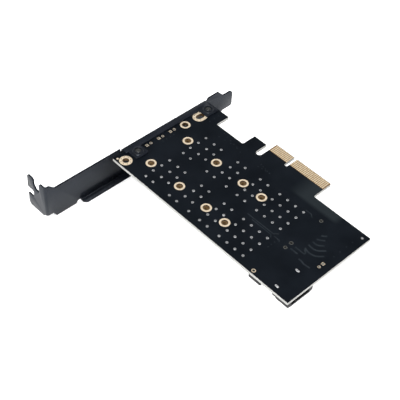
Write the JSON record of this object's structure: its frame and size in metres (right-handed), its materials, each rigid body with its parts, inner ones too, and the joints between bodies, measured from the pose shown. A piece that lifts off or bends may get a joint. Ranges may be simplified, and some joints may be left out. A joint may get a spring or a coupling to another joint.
{
  "type": "nvme adapter card",
  "caption": "Expansion card with a full-height bracket, an x4 edge connector, two M.2 sockets with rows of fixing holes, and a SATA signal port.",
  "frame": {"origin": "centre of the key notch on the contact edge, in the plane of the solder side", "axes": "+X from the bracket to the far end, +Y out through the contact edge, +Z out of the solder side"},
  "size_m": [0.129, 0.1208, 0.0213],
  "materials": {
    "board_mask": "satin black solder mask",
    "gold_plating": "gold flash",
    "tin_plating": "bright tin",
    "black_painted_steel": "satin black paint on steel sheet",
    "black_screw_steel": "black zinc",
    "black_housing_plastic": "moulded",
    "contact_metal": "plated",
    "standoff_brass": "plain",
    "chip_mould": "moulded",
    "inductor_ferrite": "pressed powder",
    "ceramic_tan": "fired ceramic",
    "led_lens": "clear resin"
  },
  "bodies": {
    "root": {"circuit_board": "board_mask", "edge_contacts_solder_side": "gold_plating", "edge_contacts_component_side": "gold_plating", "module_hole_rings": "gold_plating", "spare_hole_ring": "gold_plating", "bracket_hole_rings": "gold_plating", "heat_pads": "tin_plating", "led_pads": "gold_plating", "header_pads": "gold_plating", "peg_rings": "gold_plating", "alignment_dots": "tin_plating", "bracket": "black_painted_steel", "bracket_screws": "black_screw_steel", "nvme_socket_housing": "black_housing_plastic", "nvme_socket_contacts": "contact_metal", "nvme_socket_hold_downs": "tin_plating", "sata_socket_housing": "black_housing_plastic", "sata_socket_contacts": "contact_metal", "sata_socket_hold_downs": "tin_plating", "module_standoffs": "standoff_brass", "sata_connector_housing": "black_housing_plastic", "sata_connector_contacts": "contact_metal", "sata_connector_locks": "tin_plating", "sata_lock_solder": "tin_plating", "regulator_body": "chip_mould", "regulator_leads": "tin_plating", "inductor_core": "inductor_ferrite", "inductor_terminals": "tin_plating", "bulk_capacitor_bodies": "ceramic_tan", "bulk_capacitor_terminals": "tin_plating", "capacitor_bodies": "ceramic_tan", "capacitor_terminals": "tin_plating", "resistor_bodies": "chip_mould", "resistor_terminals": "tin_plating", "status_led_bodies": "led_lens", "status_led_terminals": "tin_plating"}
  },
  "joints": []
}
